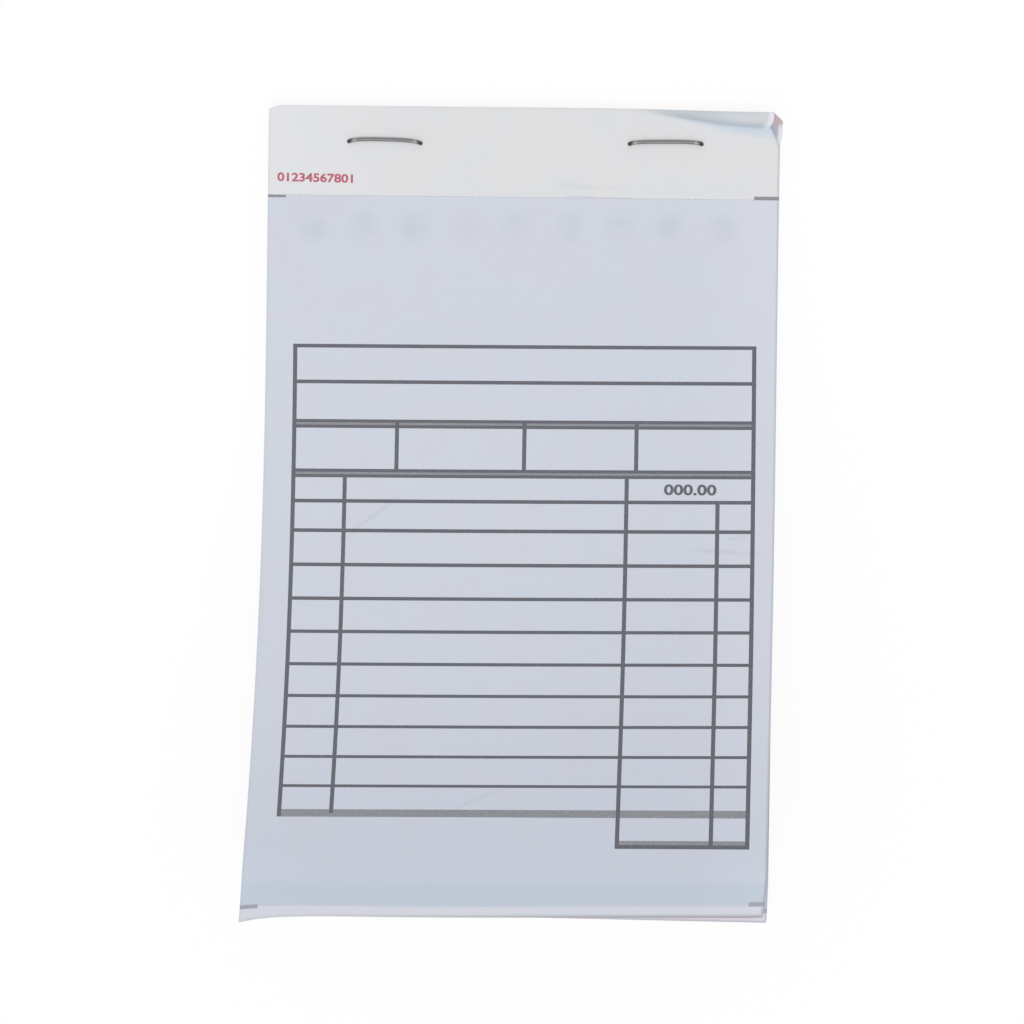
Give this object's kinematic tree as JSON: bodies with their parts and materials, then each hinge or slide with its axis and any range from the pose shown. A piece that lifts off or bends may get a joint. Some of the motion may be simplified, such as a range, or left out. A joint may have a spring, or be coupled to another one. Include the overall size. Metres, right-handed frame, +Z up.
{
  "type": "carbon order pad",
  "caption": "Stitched order pad of perforated two-part sets, white originals over pink copies, on a grey card back; its leaves turn up about the perforation.",
  "frame": {"origin": "middle of the backing board's underside, on the surface that the pad lies on", "axes": "+X across the pad to the right as it is read, +Y towards the stitched head, +Z up out of the top sheet"},
  "size_m": [0.1004, 0.1574, 0.039],
  "materials": {
    "original_paper": "matte white paper, faintly bluish where carbon coats its reverse",
    "copy_paper": "matte pink paper, coloured in the pulp",
    "board": "matte unlined grey board",
    "wire": "drawn steel stitching wire, dull"
  },
  "bodies": {
    "root": {"backing_board": "board", "staple_left": "wire", "staple_right": "wire", "original_01_stub": "original_paper", "copy_01_stub": "copy_paper", "original_02_stub": "original_paper", "copy_02_stub": "copy_paper", "original_03_stub": "original_paper", "copy_03_stub": "copy_paper", "original_04_stub": "original_paper", "copy_04_stub": "copy_paper", "original_05_stub": "original_paper", "copy_05_stub": "copy_paper", "original_06_stub": "original_paper", "copy_06_stub": "copy_paper", "original_07_stub": "original_paper", "copy_07_stub": "copy_paper", "original_08_stub": "original_paper", "copy_08_stub": "copy_paper", "original_09_stub": "original_paper", "copy_09_stub": "copy_paper", "original_10_stub": "original_paper", "copy_10_stub": "copy_paper", "original_11_stub": "original_paper", "copy_11_stub": "copy_paper", "original_12_stub": "original_paper", "copy_12_stub": "copy_paper"},
    "original_01_leaf": {"original_01_leaf": "original_paper"},
    "copy_01_leaf": {"copy_01_leaf": "copy_paper"},
    "original_02_leaf": {"original_02_leaf": "original_paper"},
    "copy_02_leaf": {"copy_02_leaf": "copy_paper"},
    "original_03_leaf": {"original_03_leaf": "original_paper"},
    "copy_03_leaf": {"copy_03_leaf": "copy_paper"},
    "original_04_leaf": {"original_04_leaf": "original_paper"},
    "copy_04_leaf": {"copy_04_leaf": "copy_paper"},
    "original_05_leaf": {"original_05_leaf": "original_paper"},
    "copy_05_leaf": {"copy_05_leaf": "copy_paper"},
    "original_06_leaf": {"original_06_leaf": "original_paper"},
    "copy_06_leaf": {"copy_06_leaf": "copy_paper"},
    "original_07_leaf": {"original_07_leaf": "original_paper"},
    "copy_07_leaf": {"copy_07_leaf": "copy_paper"},
    "original_08_leaf": {"original_08_leaf": "original_paper"},
    "copy_08_leaf": {"copy_08_leaf": "copy_paper"},
    "original_09_leaf": {"original_09_leaf": "original_paper"},
    "copy_09_leaf": {"copy_09_leaf": "copy_paper"},
    "original_10_leaf": {"original_10_leaf": "original_paper"},
    "copy_10_leaf": {"copy_10_leaf": "copy_paper"},
    "original_11_leaf": {"original_11_leaf": "original_paper"},
    "copy_11_leaf": {"copy_11_leaf": "copy_paper"},
    "original_12_leaf": {"original_12_leaf": "original_paper"},
    "copy_12_leaf": {"copy_12_leaf": "copy_paper"}
  },
  "joints": [
    {"name": "original_01_turn", "type": "hinge", "parent": "root", "child": "original_01_leaf", "pos_m": [0, 0.0613, 0.00384], "axis": [-1, 0, 0], "range_deg": [0, 165]},
    {"name": "copy_01_turn", "type": "hinge", "parent": "root", "child": "copy_01_leaf", "pos_m": [0, 0.0613, 0.00384], "axis": [-1, 0, 0], "range_deg": [0, 161.71]},
    {"name": "original_02_turn", "type": "hinge", "parent": "root", "child": "original_02_leaf", "pos_m": [0, 0.0613, 0.00384], "axis": [-1, 0, 0], "range_deg": [0, 158.41]},
    {"name": "copy_02_turn", "type": "hinge", "parent": "root", "child": "copy_02_leaf", "pos_m": [0, 0.0613, 0.00384], "axis": [-1, 0, 0], "range_deg": [0, 155.11]},
    {"name": "original_03_turn", "type": "hinge", "parent": "root", "child": "original_03_leaf", "pos_m": [0, 0.0613, 0.00384], "axis": [-1, 0, 0], "range_deg": [0, 151.81]},
    {"name": "copy_03_turn", "type": "hinge", "parent": "root", "child": "copy_03_leaf", "pos_m": [0, 0.0613, 0.00384], "axis": [-1, 0, 0], "range_deg": [0, 148.51]},
    {"name": "original_04_turn", "type": "hinge", "parent": "root", "child": "original_04_leaf", "pos_m": [0, 0.0613, 0.00384], "axis": [-1, 0, 0], "range_deg": [0, 145.21]},
    {"name": "copy_04_turn", "type": "hinge", "parent": "root", "child": "copy_04_leaf", "pos_m": [0, 0.0613, 0.00384], "axis": [-1, 0, 0], "range_deg": [0, 141.91]},
    {"name": "original_05_turn", "type": "hinge", "parent": "root", "child": "original_05_leaf", "pos_m": [0, 0.0613, 0.00384], "axis": [-1, 0, 0], "range_deg": [0, 59.41]},
    {"name": "copy_05_turn", "type": "hinge", "parent": "root", "child": "copy_05_leaf", "pos_m": [0, 0.0613, 0.00384], "axis": [-1, 0, 0], "range_deg": [0, 55.7]},
    {"name": "original_06_turn", "type": "hinge", "parent": "root", "child": "original_06_leaf", "pos_m": [0, 0.0613, 0.00384], "axis": [-1, 0, 0], "range_deg": [0, 51.98]},
    {"name": "copy_06_turn", "type": "hinge", "parent": "root", "child": "copy_06_leaf", "pos_m": [0, 0.0613, 0.00384], "axis": [-1, 0, 0], "range_deg": [0, 48.27]},
    {"name": "original_07_turn", "type": "hinge", "parent": "root", "child": "original_07_leaf", "pos_m": [0, 0.0613, 0.00384], "axis": [-1, 0, 0], "range_deg": [0, 44.56]},
    {"name": "copy_07_turn", "type": "hinge", "parent": "root", "child": "copy_07_leaf", "pos_m": [0, 0.0613, 0.00384], "axis": [-1, 0, 0], "range_deg": [0, 40.85]},
    {"name": "original_08_turn", "type": "hinge", "parent": "root", "child": "original_08_leaf", "pos_m": [0, 0.0613, 0.00384], "axis": [-1, 0, 0], "range_deg": [0, 37.13]},
    {"name": "copy_08_turn", "type": "hinge", "parent": "root", "child": "copy_08_leaf", "pos_m": [0, 0.0613, 0.00384], "axis": [-1, 0, 0], "range_deg": [0, 33.42]},
    {"name": "original_09_turn", "type": "hinge", "parent": "root", "child": "original_09_leaf", "pos_m": [0, 0.0613, 0.00384], "axis": [-1, 0, 0], "range_deg": [0, 29.71]},
    {"name": "copy_09_turn", "type": "hinge", "parent": "root", "child": "copy_09_leaf", "pos_m": [0, 0.0613, 0.00384], "axis": [-1, 0, 0], "range_deg": [0, 26]},
    {"name": "original_10_turn", "type": "hinge", "parent": "root", "child": "original_10_leaf", "pos_m": [0, 0.0613, 0.00384], "axis": [-1, 0, 0], "range_deg": [0, 22.29]},
    {"name": "copy_10_turn", "type": "hinge", "parent": "root", "child": "copy_10_leaf", "pos_m": [0, 0.0613, 0.00384], "axis": [-1, 0, 0], "range_deg": [0, 18.57]},
    {"name": "original_11_turn", "type": "hinge", "parent": "root", "child": "original_11_leaf", "pos_m": [0, 0.0613, 0.00384], "axis": [-1, 0, 0], "range_deg": [0, 14.86]},
    {"name": "copy_11_turn", "type": "hinge", "parent": "root", "child": "copy_11_leaf", "pos_m": [0, 0.0613, 0.00384], "axis": [-1, 0, 0], "range_deg": [0, 11.15]},
    {"name": "original_12_turn", "type": "hinge", "parent": "root", "child": "original_12_leaf", "pos_m": [0, 0.0613, 0.00384], "axis": [-1, 0, 0], "range_deg": [0, 7.43]},
    {"name": "copy_12_turn", "type": "hinge", "parent": "root", "child": "copy_12_leaf", "pos_m": [0, 0.0613, 0.00384], "axis": [-1, 0, 0], "range_deg": [0, 3.72]}
  ],
  "couplings": [
    {"joint": "copy_01_turn", "follows": "original_01_turn", "ratio": 0.98},
    {"joint": "original_02_turn", "follows": "original_01_turn", "ratio": 0.96},
    {"joint": "copy_02_turn", "follows": "original_01_turn", "ratio": 0.94},
    {"joint": "original_03_turn", "follows": "original_01_turn", "ratio": 0.92},
    {"joint": "copy_03_turn", "follows": "original_01_turn", "ratio": 0.9},
    {"joint": "original_04_turn", "follows": "original_01_turn", "ratio": 0.88},
    {"joint": "copy_04_turn", "follows": "original_01_turn", "ratio": 0.86},
    {"joint": "original_05_turn", "follows": "original_01_turn", "ratio": 0.36},
    {"joint": "copy_05_turn", "follows": "original_01_turn", "ratio": 0.3375},
    {"joint": "original_06_turn", "follows": "original_01_turn", "ratio": 0.315},
    {"joint": "copy_06_turn", "follows": "original_01_turn", "ratio": 0.2925},
    {"joint": "original_07_turn", "follows": "original_01_turn", "ratio": 0.27},
    {"joint": "copy_07_turn", "follows": "original_01_turn", "ratio": 0.2475},
    {"joint": "original_08_turn", "follows": "original_01_turn", "ratio": 0.225},
    {"joint": "copy_08_turn", "follows": "original_01_turn", "ratio": 0.2025},
    {"joint": "original_09_turn", "follows": "original_01_turn", "ratio": 0.18},
    {"joint": "copy_09_turn", "follows": "original_01_turn", "ratio": 0.1575},
    {"joint": "original_10_turn", "follows": "original_01_turn", "ratio": 0.135},
    {"joint": "copy_10_turn", "follows": "original_01_turn", "ratio": 0.1125},
    {"joint": "original_11_turn", "follows": "original_01_turn", "ratio": 0.09},
    {"joint": "copy_11_turn", "follows": "original_01_turn", "ratio": 0.0675},
    {"joint": "original_12_turn", "follows": "original_01_turn", "ratio": 0.045},
    {"joint": "copy_12_turn", "follows": "original_01_turn", "ratio": 0.0225}
  ]
}
